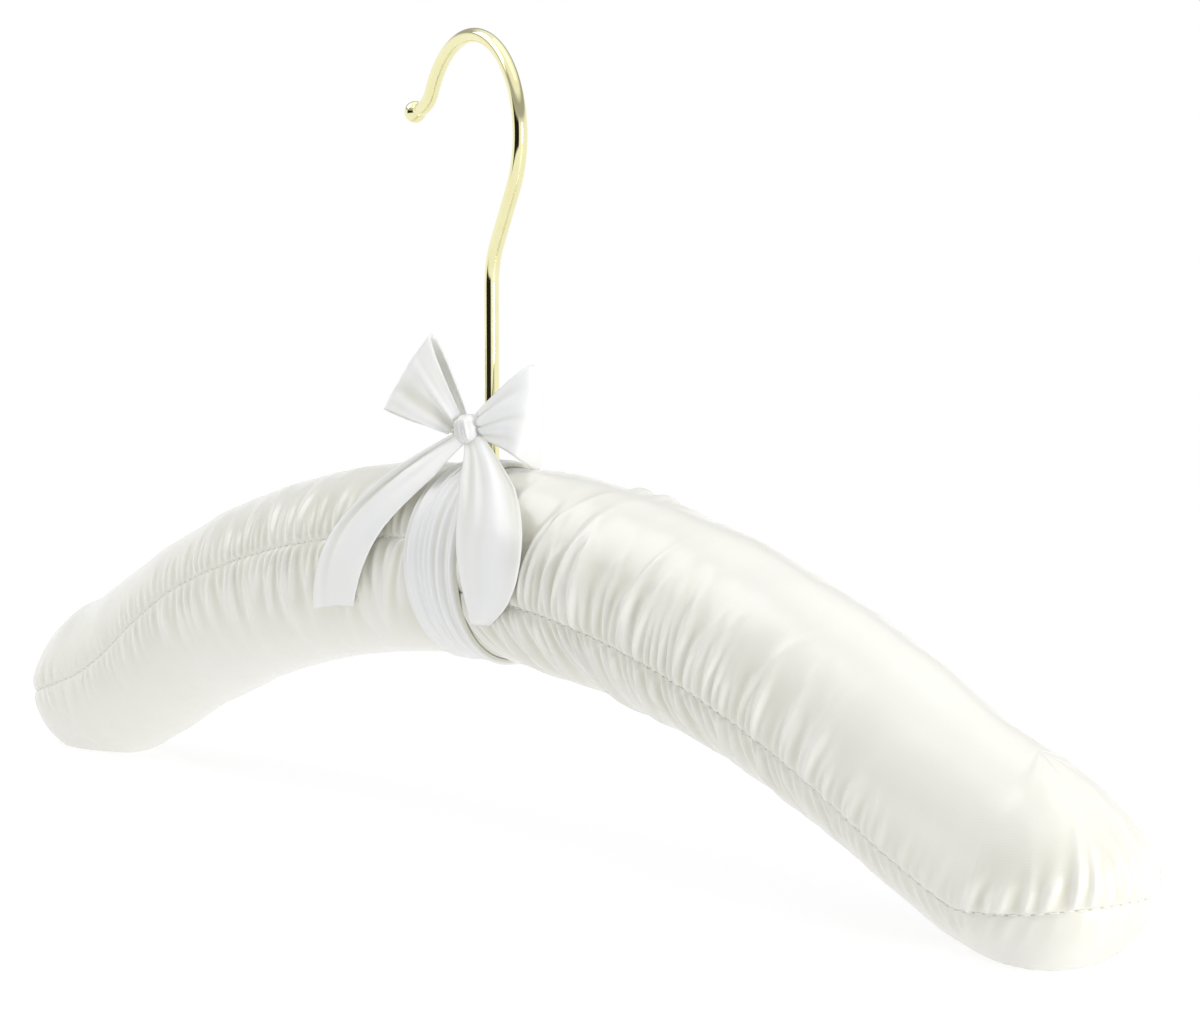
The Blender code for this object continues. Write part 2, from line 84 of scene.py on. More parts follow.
CAMERA_AZIMUTH = 0.878
CAMERA_ELEVATION = 0.084
CAMERA_DISTANCE = 727.4 * MM
CAMERA_AIM = Vector((38.7, 0, 78.3)) * MM
CAMERA_LENS = 99.0
FLOOR_RADIUS = 2.0


def add_camera():
    """Long lens low in front of the right arm, looking along the hanger."""
    back = Vector((math.sin(CAMERA_AZIMUTH) * math.cos(CAMERA_ELEVATION),
                   -math.cos(CAMERA_AZIMUTH) * math.cos(CAMERA_ELEVATION), math.sin(CAMERA_ELEVATION)))
    data = bpy.data.cameras.new("camera")
    data.lens = CAMERA_LENS
    data.clip_start = 0.01
    camera = bpy.data.objects.new("camera", data)
    camera.location = CAMERA_AIM + back * CAMERA_DISTANCE
    camera.rotation_euler = back.to_track_quat("Z", "Y").to_euler()
    bpy.context.scene.collection.objects.link(camera)
    bpy.context.scene.camera = camera


def add_light(name, place, aim, size, power, colour=(1, 1, 1)):
    data = bpy.data.lights.new(name, "AREA")
    data.shape = "RECTANGLE"
    data.size, data.size_y = size
    data.energy = power
    data.color = colour
    light = bpy.data.objects.new(name, data)
    light.location = place
    light.rotation_euler = (Vector(place) - Vector(aim)).to_track_quat("Z", "Y").to_euler()
    bpy.context.scene.collection.objects.link(light)


def deselect():
    bpy.ops.object.select_all(action="DESELECT")


# How solid the floor is by distance from the middle, in units of 2 m
FLOOR_FADE = [(0.12, (1, 1, 1)), (0.55, (0, 0, 0))]
# The studio's light by height, from straight down at 0 to straight up at 1
SKY = [(0.50, (1.03, 1.035, 1.04)), (0.60, (0.98, 0.985, 0.99)), (0.67, (0.42, 0.42, 0.43)),
       (0.76, (0.42, 0.42, 0.43)), (0.84, (0.95, 0.96, 0.97)), (1.0, (1.05, 1.05, 1.05))]
# The dark opening: how far it reaches round from the front, and in height
OPENING_WIDTH = [(0.87, (0, 0, 0)), (0.91, (1, 1, 1))]
OPENING_HEIGHT = [(0.40, (0, 0, 0)), (0.43, (1, 1, 1)), (0.60, (1, 1, 1)), (0.66, (0, 0, 0))]
OPENING_COLOUR = (0.015, 0.014, 0.012, 1)
BACKDROP_COLOUR = (1.0, 1.0, 1.0, 1)


def add_floor():
    """Lit white floor that melts into the white backdrop."""
    deselect()
    bpy.ops.mesh.primitive_circle_add(vertices=96, radius=FLOOR_RADIUS, fill_type="NGON", location=(0, 0, 0))
    floor = bpy.context.object
    floor.name = "floor"
    paper = Finish("white_sweep")
    place = paper.node("ShaderNodeTexCoord", output="Object")
    from_middle = paper.node("ShaderNodeVectorMath", {"operation": "LENGTH"}, {0: place}, output="Value")
    paper.shader("Base Color", (0.26, 0.26, 0.265, 1)).shader("Roughness", 0.5)
    paper.shader("Emission Color", (1.0, 1.0, 1.0, 1)).shader("Emission Strength", 0.70)
    paper.shader("Alpha", paper.ramp(from_middle * 0.5, FLOOR_FADE))
    paper.apply(floor)


def add_studio():
    """White backdrop; what the metal mirrors is a studio with a grey band overhead and a dark opening in front."""
    world = bpy.data.worlds.new("studio")
    bpy.context.scene.world = world
    world.use_nodes = True
    studio = NodeMaker(world.node_tree)
    direction = studio.node("ShaderNodeTexCoord", output="Generated")
    height = studio.node("ShaderNodeSeparateXYZ", None, {0: direction}, output="Z") * 0.5 + 0.5
    front = studio.node("ShaderNodeSeparateXYZ", None, {0: direction}, output="Y") * -0.5 + 0.5
    opening = studio.ramp(front, OPENING_WIDTH) * studio.ramp(height, OPENING_HEIGHT)
    lit = studio.mix(opening, studio.ramp(height, SKY), OPENING_COLOUR)
    seen = studio.node("ShaderNodeLightPath", output="Is Camera Ray")
    background = studio.tree.nodes["Background"]
    studio.feed(background.inputs["Color"], studio.mix(seen, lit, BACKDROP_COLOUR))
    background.inputs["Strength"].default_value = 1.0
    add_light("key", (-0.7, -0.5, 0.95), (0, 0, 0.08), (0.9, 0.7), 3.2)
    add_light("side", (1.2, -0.1, 0.22), (0.17, 0, 0.04), (0.25, 0.4), 5.0)
    add_light("top", (0.1, 0.15, 1.15), (0.1, 0, 0), (1.1, 0.7), 0.8, (0.97, 0.985, 1.0))
    bpy.context.scene.view_settings.view_transform = "Standard"


# --- Finishes ---

class Number:
    """A number that varies over a surface and takes part in sums like a plain one."""

    def __init__(self, finish, socket):
        self.finish = finish
        self.socket = socket

    def maths(self, operation, first, second):
        return self.finish.node("ShaderNodeMath", {"operation": operation}, {0: first, 1: second})

    def __add__(self, other):
        return self.maths("ADD", self, other)

    def __mul__(self, other):
        return self.maths("MULTIPLY", self, other)

    __radd__ = __add__
    __rmul__ = __mul__


class NodeMaker:
    """Adds nodes to a tree and joins them up."""

    def __init__(self, tree):
        self.tree = tree

    def node(self, kind, settings=None, values=None, output=0):
        """Add a node, set it up, feed its sockets and hand back one of its outputs."""
        node = self.tree.nodes.new(kind)
        for name, value in (settings or {}).items():
            if name == "ramp":
                self.set_ramp(node.color_ramp, value)
            else:
                setattr(node, name, value)
        for name, value in (values or {}).items():
            self.feed(node.inputs[name], value)
        return Number(self, node.outputs[output])

    def set_ramp(self, ramp, stops):
        while len(ramp.elements) < len(stops):
            ramp.elements.new(0.5)
        for element, (place, colour) in zip(ramp.elements, stops):
            element.position = place
            element.color = (*colour, 1)

    def feed(self, socket, value):
        if isinstance(value, Number):
            self.tree.links.new(value.socket, socket)
        else:
            socket.default_value = value

    def mix(self, share, first, second):
        """Colour between two others."""
        return self.node("ShaderNodeMix", {"data_type": "RGBA"}, {0: share, 6: first, 7: second}, output=2)

    def ramp(self, value, stops):
        return self.node("ShaderNodeValToRGB", {"ramp": stops}, {0: value})


class Finish(NodeMaker):
    """A material being made: its Principled shader and the nodes that feed it."""

    def __init__(self, name):
        self.material = bpy.data.materials.new(name)
        self.material.use_nodes = True
        super().__init__(self.material.node_tree)
        self.principled = self.tree.nodes["Principled BSDF"]

    def shader(self, name, value):
        self.feed(self.principled.inputs[name], value)
        return self

    def stretch(self, scale, source="Object"):
        """Coordinates stretched by a scale on each axis."""
        place = self.node("ShaderNodeTexCoord", output=source)
        return self.node("ShaderNodeMapping", None, {"Vector": place, "Scale": scale})

    def noise(self, place, scale, detail=2.0, roughness=0.5):
        return self.node("ShaderNodeTexNoise", None, {"Vector": place, "Scale": scale, "Detail": detail,
                                                      "Roughness": roughness})

    def wave(self, place, scale, direction, distortion=0.0, detail_scale=1.0):
        settings = {"wave_type": "BANDS", "bands_direction": direction}
        return self.node("ShaderNodeTexWave", settings, {"Vector": place, "Scale": scale,
                                                         "Distortion": distortion, "Detail Scale": detail_scale})

    def bump(self, height, distance, strength=1.0, normal=None):
        values = {"Height": height, "Distance": distance, "Strength": strength}
        if normal is not None:
            values["Normal"] = normal
        return self.node("ShaderNodeBump", None, values)

    def apply(self, item):
        item.data.materials.clear()
        item.data.materials.append(self.material)


def satin_finish(name, warp_colour, weft_colour, roughness):
    """Satin: long glossy floats one way, fine weft ticks the other, with soft streaks, and painted shade, darker and
    warmer, in the hollows of the folds.
    """
    cloth = Finish(name)
    threads = cloth.stretch((1000, 1000, 1000), "UV")
    streaks = cloth.noise(cloth.stretch((60, 900, 1), "UV"), 1.0, 3.0)
    warp = cloth.wave(threads, 0.62, "Y", 1.2, 0.6)
    weft = cloth.noise(cloth.stretch((2600, 700, 1), "UV"), 1.0, 2.0)
    blotches = cloth.noise(cloth.stretch((45, 45, 45)), 1.0, 2.0)
    tone = cloth.mix(streaks * 0.5 + weft * 0.3, (*warp_colour, 1), (*weft_colour, 1))
    warm = tuple(c * k for c, k in zip(warp_colour, (0.985, 0.965, 0.90)))
    warmed = cloth.mix(cloth.ramp(blotches, [(0.42, (0, 0, 0)), (0.75, (0.5, 0.5, 0.5))]), tone, (*warm, 1))
    # Painted shade: the fold hollows stored on the mesh are darkened and warmed in the base colour
    valley = cloth.node("ShaderNodeAttribute", {"attribute_name": "valley"}, output="Fac")
    crease_shade_colour = tuple(c * k for c, k in zip(warp_colour, (0.74, 0.73, 0.63)))
    cloth.shader("Base Color", cloth.mix(valley, warmed, (*crease_shade_colour, 1)))
    cloth.shader("Roughness", streaks * 0.06 + weft * 0.05 + roughness)
    cloth.shader("Normal", cloth.bump(warp * 0.5 + weft * 0.4 + streaks * 0.15, 0.03 * MM, 0.4))
    cloth.shader("Sheen Weight", 0.25).shader("Sheen Roughness", 0.4)
    cloth.shader("Specular IOR Level", 0.8)
    cloth.shader("Subsurface Weight", 0.12).shader("Subsurface Scale", 1.5 * MM)
    cloth.shader("Subsurface Radius", (1.0, 0.9, 0.6))
    return cloth


def gold_finish():
    """Bright lacquered brass wire with faint drawing lines and a few duller patches."""
    gold = Finish("polished_gold")
    lines = gold.noise(gold.stretch((4000, 4000, 160)), 1.0, 3.0)
    patches = gold.noise(gold.stretch((220, 220, 220)), 1.0, 3.0)
    gold.shader("Base Color", gold.mix(patches, (0.91, 0.87, 0.55, 1), (0.84, 0.79, 0.42, 1)))
    gold.shader("Metallic", 1.0)
    gold.shader("Roughness", patches * 0.05 + lines * 0.04 + 0.03)
    gold.shader("Normal", gold.bump(lines, 0.01 * MM, 0.25))
    gold.shader("Coat Weight", 0.4).shader("Coat Roughness", 0.06)
    return gold


def steel_finish():
    steel = Finish("zinc_steel")
    grain = steel.noise(steel.stretch((900, 900, 900)), 1.0, 4.0)
    steel.shader("Base Color", steel.mix(grain, (0.60, 0.61, 0.62, 1), (0.72, 0.72, 0.70, 1)))
    steel.shader("Metallic", 1.0).shader("Roughness", grain * 0.25 + 0.25)
    steel.shader("Normal", steel.bump(grain, 0.02 * MM, 0.3))
    return steel


def wood_finish():
    wood = Finish("beech_core")
    rings = wood.wave(wood.stretch((12, 160, 160)), 3.0, "Z", 6.0, 1.5)
    pores = wood.noise(wood.stretch((300, 2500, 2500)), 1.0, 3.0)
    wood.shader("Base Color", wood.mix(rings * 0.7 + pores * 0.3, (0.68, 0.50, 0.31, 1), (0.52, 0.35, 0.20, 1)))
    wood.shader("Roughness", pores * 0.2 + 0.5)
    wood.shader("Normal", wood.bump(pores, 0.05 * MM, 0.5))
    return wood


def wadding_finish():
    fluff = Finish("white_wadding")
    fibres = fluff.noise(fluff.stretch((500, 500, 500)), 1.0, 8.0, 0.75)
    clumps = fluff.noise(fluff.stretch((90, 90, 90)), 1.0, 3.0)
    fluff.shader("Base Color", fluff.mix(fibres, (0.95, 0.94, 0.91, 1), (0.84, 0.83, 0.79, 1)))
    fluff.shader("Roughness", 0.95)
    fluff.shader("Normal", fluff.bump(fibres * 0.6 + clumps, 0.6 * MM, 0.8))
    fluff.shader("Sheen Weight", 0.4)
    return fluff


def thread_finish():
    thread = Finish("sewing_thread")
    twist = thread.wave(thread.stretch((1000, 1000, 1000), "UV"), 1.6, "DIAGONAL", 0.5)
    thread.shader("Base Color", thread.mix(twist, (0.93, 0.91, 0.84, 1), (0.87, 0.84, 0.75, 1)))
    thread.shader("Roughness", twist * 0.2 + 0.4)
    thread.shader("Normal", thread.bump(twist, 0.05 * MM, 0.7))
    return thread


# --- The padded body as a surface ---

def centre_line(run):
    """Middle line of an arm: x, height from the middle and slope, at lengths along it."""
    run = np.asarray(run, float)
    near = np.minimum(run, ARCH_RUN) / ARCH_RADIUS
    slope = np.where(run <= ARCH_RUN, near, ARCH_ANGLE - (run - ARCH_RUN) / ARM_END_RADIUS)
    past = run > ARCH_RUN
    x = ARCH_RADIUS * np.sin(near) + np.where(past, ARM_END_RADIUS * (math.sin(ARCH_ANGLE) - np.sin(slope)), 0)
    z = ARCH_RADIUS * (np.cos(near) - 1) + np.where(past, ARM_END_RADIUS * (math.cos(ARCH_ANGLE) - np.cos(slope)), 0)
    return x, z, slope


def section(run):
    """Half height and half width at lengths along an arm."""
    share = (np.asarray(run) / ARM_RUN) ** 2
    waist = WAIST_DEPTH * np.exp(-(np.asarray(run) / WAIST_LENGTH) ** 2)
    high = HALF_HEIGHT_MID + (HALF_HEIGHT_END - HALF_HEIGHT_MID) * share - waist
    wide = HALF_WIDTH_MID + (HALF_WIDTH_END - HALF_WIDTH_MID) * share - waist
    return high, wide


def signed_power(value, power):
    return np.sign(value) * np.abs(value) ** power


def body_points(side, run, around, lift, out):
    """Points on the body moved out by a distance.

    around is 0 on the front, a quarter turn at the tip and half a turn on the back.
    lift is 0 at the side, a quarter turn at the top and minus a quarter turn underneath.
    """
    run, around, lift, out = np.broadcast_arrays(run, around, lift, out)
    sides = np.where(run < 0, -side, side)
    x, z, slope = centre_line(np.abs(run))
    high, wide = section(np.abs(run))
    square = 2 / CAP_SQUARENESS
    along = (CAP_LENGTH + out) * np.cos(lift) * signed_power(np.sin(around), square)
    up = (high + out) * np.sin(lift)
    px = sides * (x + along * np.cos(slope) + up * np.sin(slope))
    py = -(wide + out) * np.cos(lift) * signed_power(np.cos(around), square)
    pz = MIDDLE_Z + z - along * np.sin(slope) + up * np.cos(slope)
    return np.stack([px, py, np.maximum(pz, 0.05 * MM)], axis=-1)


def grid_object(name, points, uv, closed_rows=False, flip=False):
    """Mesh object over a grid of points, rows by columns, with a UV map in metres."""
    rows, columns = points.shape[:2]
    index = np.arange(rows * columns).reshape(rows, columns)
    a = index[:-1, :-1]
    b = index[1:, :-1]
    c = index[1:, 1:]
    d = index[:-1, 1:]
    if closed_rows:
        a = np.concatenate([a, index[:-1, -1:]], axis=1)
        b = np.concatenate([b, index[1:, -1:]], axis=1)
        c = np.concatenate([c, index[1:, :1]], axis=1)
        d = np.concatenate([d, index[:-1, :1]], axis=1)
    quads = np.stack([a, d, c, b] if flip else [a, b, c, d], axis=-1).reshape(-1, 4)
    mesh = bpy.data.meshes.new(name)
    mesh.from_pydata(points.reshape(-1, 3).tolist(), [], quads.tolist())
    layer = mesh.uv_layers.new(name="UVMap")
    layer.data.foreach_set("uv", uv.reshape(-1, 2)[quads.reshape(-1)].astype(np.float32).reshape(-1))
    item = bpy.data.objects.new(name, mesh)
    bpy.context.scene.collection.objects.link(item)
    return item


def store_painted_shade(item, depth):
    """Store how much painted shade each point gets in a fold, for the cloth's colour."""
    layer = item.data.attributes.new("valley", "FLOAT", "POINT")
    layer.data.foreach_set("value", np.ascontiguousarray(depth, dtype=np.float32).reshape(-1))


def weld(item, distance=0.002 * MM):
    shape = bmesh.new()
    shape.from_mesh(item.data)
    bmesh.ops.remove_doubles(shape, verts=shape.verts[:], dist=distance)
    shape.to_mesh(item.data)
    shape.free()


def thicken(item, thickness, offset=-1.0):
    """Give a sheet its thickness, for good."""
    deselect()
    item.select_set(True)
    bpy.context.view_layer.objects.active = item
    modifier = item.modifiers.new("thickness", "SOLIDIFY")
    modifier.thickness = thickness
    modifier.offset = offset
    bpy.ops.object.modifier_apply(modifier=modifier.name)
    bpy.ops.object.shade_smooth()


def hand_over(item, finish, body, nodes=()):
    """Finish a piece: its look, the body it rides on and the nodes it stands for."""
    finish.apply(item)
    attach(item, body)
    if nodes:
        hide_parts(*nodes)
    return item


# --- Gathered satin sleeves ---

COLUMN_STEP = 0.4 * MM
ROW_COUNT = 44
CALM_START = 8.5 * MM  # the gathers start under the band's edge
CALM_LENGTH = 3 * MM
TOP_CALM = 0.16  # share of a panel, along the top or underside, where the gathers die away
PANEL_LIFT = 0.2 * MM
WAVE_SHARE = 0.55
SATIN_THICKNESS = 0.35 * MM
SEAM_GROOVE = 0.45 * MM
SEAM_GROOVE_WIDTH = 1.2 * MM

PANELS = {
    "right_upper": {"side": 1, "up": 1, "spacing": 3.0, "height": 1.8, "reach": 21, "lean": 0.05, "tip": 1.5,
                    "seed": 11},
    "right_lower": {"side": 1, "up": -1, "spacing": 2.9, "height": 1.6, "reach": 15, "lean": 0.50, "tip": 0.35,
                    "seed": 23},
    "left_upper": {"side": -1, "up": 1, "spacing": 3.2, "height": 1.0, "reach": 12, "lean": 0.10, "tip": 1.2,
                   "seed": 37},
    "left_lower": {"side": -1, "up": -1, "spacing": 3.4, "height": 1.1, "reach": 17, "lean": 0.25, "tip": 0.5,
                   "seed": 41},
}


def seam_outline():
    """Columns of a panel in order: front of the arm, round the tip, and back behind, evenly spaced."""
    dense = np.linspace(0, math.pi, 4001)
    square = 2 / CAP_SQUARENESS
    east = CAP_LENGTH * np.sin(dense) ** square
    north = HALF_WIDTH_END * signed_power(np.cos(dense), square)
    lengths = np.concatenate([[0], np.cumsum(np.hypot(np.diff(east), np.diff(north)))])
    turn_length = lengths[-1]
    turns = int(turn_length / COLUMN_STEP)
    tip = np.interp(np.linspace(0, turn_length, turns + 1)[1:-1], lengths, dense)
    count = int((ARM_RUN - SLEEVE_START) / COLUMN_STEP)
    run = np.concatenate([np.linspace(SLEEVE_START, ARM_RUN, count), np.full(turns - 1, ARM_RUN),
                          np.linspace(ARM_RUN, SLEEVE_START, count)])
    around = np.concatenate([np.zeros(count), tip, np.full(count, math.pi)])
    along = np.concatenate([run[:count], ARM_RUN + np.linspace(0, turn_length, turns + 1)[1:-1],
                            2 * ARM_RUN + turn_length - run[-count:]])
    return run, around, along, turn_length


def seam_lift(side, run, around):
    """Height of the seam round the body, as a lift.

    The sleeves sit turned on the padding: the seam is low on one side of an arm, high on the other, and runs
    level across the end.
    """
    turned = around if side > 0 else math.pi - around
    share = run / ARM_RUN
    low = -14 - 16 * share ** 2
    late = np.clip((share - 0.62) / 0.38, 0, 1)
    high = 15 - 13 * late * late * (3 - 2 * late)
    turns = np.linspace(0, 180, 181)
    knots = np.interp(turns, (0, 8, 23, 41, 58, 78, 99, 130, 180), (-30, -20, -9, 1, 7, 10, 10, 7, 2))
    window = np.hanning(15)
    smooth = np.convolve(np.pad(knots, 7, mode="edge"), window / window.sum(), mode="valid")
    tip = np.interp(np.degrees(turned), turns, smooth + (turns < 12) * (knots - smooth) * (1 - turns / 12))
    degrees = np.where(turned <= 0, low, np.where(turned >= math.pi, high, tip))
    return np.radians(degrees)


TIP_MARGIN = 6 * MM
# Share of a ridge's height below which a hollow gets painted shade
PAINTED_SHADE_SHARE = 0.42


def gathers(along, away, turn_length, spacing, height, reach, lean, tip, seed):
    """Height of the gathers, and how much painted shade each point gets in the hollows between them.

    Ridges start at the seam, lean outwards and fade, some long and some short. They are tallest near the bow,
    and tip says how tall they are across the arm's end.
    """
    rng = np.random.default_rng(seed)
    total = 2 * ARM_RUN + turn_length
    ridges = np.zeros(np.broadcast(along, away).shape)
    place = SLEEVE_START
    while place < total - SLEEVE_START:
        from_middle = min(place, total - place)
        share = min(1.0, from_middle / ARM_RUN)
        on_tip = from_middle > ARM_RUN + TIP_MARGIN
        strength = tip if on_tip else 0.35 + 0.65 * math.cos(math.pi / 2 * share ** 1.6)
        step = spacing * MM * (1.35 if on_tip else 1.0) * rng.uniform(0.7, 1.3)
        tall = height * MM * rng.uniform(0.45, 1.2) * strength
        length = reach * MM * rng.uniform(0.5, 1.2) * (0.45 if on_tip else 1.1 - 0.72 * share)
        slant = 0.0 if on_tip else lean * rng.uniform(0.3, 1.7) * (1 if place < total / 2 else -1)
        bow = rng.uniform(-0.012, 0.012)
        centre = place + slant * away + bow * away ** 2 / MM
        width = 0.20 * step * (1 + 0.05 * away / MM)
        sharp = rng.uniform(1.4, 2.2)
        near = np.abs(along - centre) / width
        mask = near < 5
        fade = np.exp(-(np.broadcast_to(away, mask.shape)[mask] / length) ** 2.5)
        ridge = tall * np.exp(-0.5 * near[mask] ** sharp) * fade
        ridges[mask] += ridge
        place += step
    ridges = ridges * (1 - 0.7 * np.exp(-away / (2.5 * MM))) * (1 - np.exp(-away / (0.4 * MM)))
    from_middle = np.minimum(along, total - along)
    # Painted shade: how strongly the fold hollows are darkened, strongest near the bow, set by tip across the end,
    # fading away from the seam
    drawn = np.clip(1.05 - 0.65 * np.clip(from_middle / ARM_RUN, 0, 1) ** 2.2, 0, 1)
    drawn = np.where(from_middle > ARM_RUN + TIP_MARGIN, min(1.0, 0.8 * tip), drawn)
    spread = np.where(from_middle > ARM_RUN, 0.40, 1.0 - 0.66 * np.clip(from_middle / ARM_RUN, 0, 1))
    drawn = drawn * np.exp(-(away / (spread * reach * MM)) ** 2.0) * (1 - np.exp(-away / (1.2 * MM)))
    return ridges, drawn * np.clip(1 - ridges / (PAINTED_SHADE_SHARE * height * MM), 0, 1)


def soft_waves(along, away, seed):
    """Broad unevenness of the padding, and shallow tension folds across the top."""
    rng = np.random.default_rng(seed + 1)
    total = np.zeros(np.broadcast(along, away).shape)
    for size, tall in ((44, 0.30), (26, 0.20), (14, 0.10), (8, 0.04)):
        for _ in range(3):
            heading = rng.uniform(-0.5, 0.5)
            phase = rng.uniform(0, 2 * math.pi)
            travel = (along * math.cos(heading) + away * math.sin(heading) * 1.5) / (size * MM)
            total = total + tall * MM / 1.7 * np.sin(2 * math.pi * travel + phase)
    return total * (1 - np.exp(-away / (5 * MM)))


def add_panel(label, side, up, seed, **fold):
    """One satin panel: a grid from the seam to the top or underside, gathered along the seam."""
    run, around, along, turn_length = seam_outline()
    start = seam_lift(side, run, around)[:, None]
    share = np.linspace(0, 1, ROW_COUNT)[None, :] ** 1.2
    lift = start + (up * QUARTER - start) * share
    high, wide = section(run)
    away = np.abs(lift - start) * ((high + wide) / 2)[:, None]
    column = along[:, None]
    ridge, valley = gathers(column, away, turn_length, seed=seed, **fold)
    groove = SEAM_GROOVE * np.exp(-(away / SEAM_GROOVE_WIDTH))
    calm = np.clip((run - CALM_START) / CALM_LENGTH, 0, 1)[:, None]
    out = (ridge + WAVE_SHARE * soft_waves(column, away, seed)) * calm - groove
    out = out * np.clip((1 - share) / TOP_CALM, 0, 1) + PANEL_LIFT
    points = body_points(side, run[:, None], around[:, None], lift, out)
    uv = np.stack(np.broadcast_arrays(column, away), axis=-1)
    item = grid_object(label + "_satin", points, uv, flip=side * up < 0)
    # Painted shade in the gathers' hollows, stored for the satin's colour
    store_painted_shade(item, valley)
    weld(item)
    return item


def add_sleeves(satin):
    for label, values in PANELS.items():
        item = add_panel(label, **values)
        thicken(item, SATIN_THICKNESS)
        hand_over(item, satin, "root", [label + "_cover"])


STITCH_STEP = 2.6 * MM
STITCH_RADIUS = 0.16 * MM
STITCH_DEPTH = 0.45 * MM
STITCH_RISE = 0.30 * MM
STITCH_MARGIN = 1.5 * MM


def seam_point(side, along_wanted, out):
    """Point in the seam's groove at a length along it."""
    run, around, along, _ = seam_outline()
    run = np.interp(along_wanted, along, run)
    around = np.interp(along_wanted, along, around)
    return body_points(side, run, around, seam_lift(side, run, around), out)


def add_stitches(side, thread):
    """Row of stitches in the seam's groove, each a short length of thread that dips in at both ends."""
    label = "right" if side > 0 else "left"
    _, _, along, _ = seam_outline()
    first = BAND_HALF + STITCH_MARGIN
    starts = np.arange(first, along[-1] - first, STITCH_STEP)
    shares = np.linspace(0.06, 0.94, 7)
    rise = np.sin(math.pi * (shares - 0.06) / 0.88) ** 0.6
    points, quads = [], []
    for start in starts:
        middles = seam_point(side, start + shares * STITCH_STEP, STITCH_RISE * rise - STITCH_DEPTH)
        heading = middles[-1] - middles[0]
        heading /= np.linalg.norm(heading)
        one = np.cross(heading, (0, 0, 1))
        one /= np.linalg.norm(one)
        two = np.cross(heading, one)
        base = len(points)
        for middle in middles:
            for k in range(6):
                turn = k * math.pi / 3
                points.append(tuple(middle + STITCH_RADIUS * (one * math.cos(turn) + two * math.sin(turn))))
        for ring in range(len(middles) - 1):
            for k in range(6):
                low, high = base + ring * 6, base + ring * 6 + 6
                quads.append((low + k, low + (k + 1) % 6, high + (k + 1) % 6, high + k))
        quads.append(tuple(base + k for k in range(5, -1, -1)))
        quads.append(tuple(base + (len(middles) - 1) * 6 + k for k in range(6)))
    mesh = bpy.data.meshes.new(label + "_stitches")
    mesh.from_pydata(points, [], quads)
    mesh.shade_smooth()
    item = bpy.data.objects.new(label + "_stitches", mesh)
    bpy.context.scene.collection.objects.link(item)
    shape = bmesh.new()
    shape.from_mesh(mesh)
    bmesh.ops.recalc_face_normals(shape, faces=shape.faces[:])
    shape.to_mesh(mesh)
    shape.free()
    hand_over(item, thread, "root", [label + "_seam_thread"])


# --- Hook ---

WIRE_RADIUS = 1.7 * MM
STEM_TOP_Z = MIDDLE_Z + 63.1 * MM
LOWER_BEND_RADIUS = 18 * MM
HOOK_RADIUS = 23.2 * MM
HOOK_CENTRE = (-9.4 * MM, MIDDLE_Z + 96.9 * MM)
HOOK_ARC_END = math.radians(151)
TIP_BEND_RADIUS = 8 * MM
TIP_BEND_TURN = math.radians(50)
TIP_STRAIGHT = 3.5 * MM
HOOK_TURN = math.radians(-10)


def open_edit(item):
    deselect()
    item.select_set(True)
    bpy.context.view_layer.objects.active = item
    bpy.ops.object.mode_set(mode="EDIT")


def close_edit():
    bpy.ops.object.mode_set(mode="OBJECT")


def push(distance, heading):
    """Draw the wire straight on."""
    move = (distance * math.cos(heading), 0, distance * math.sin(heading))
    bpy.ops.mesh.extrude_region_move(TRANSFORM_OT_translate={"value": move})


def bend(centre, angle, steps):
    """Bend the wire round a centre in the hook's plane."""
    bpy.ops.mesh.spin(steps=steps, angle=angle, center=(centre[0], 0, centre[1]), axis=(0, -1, 0))


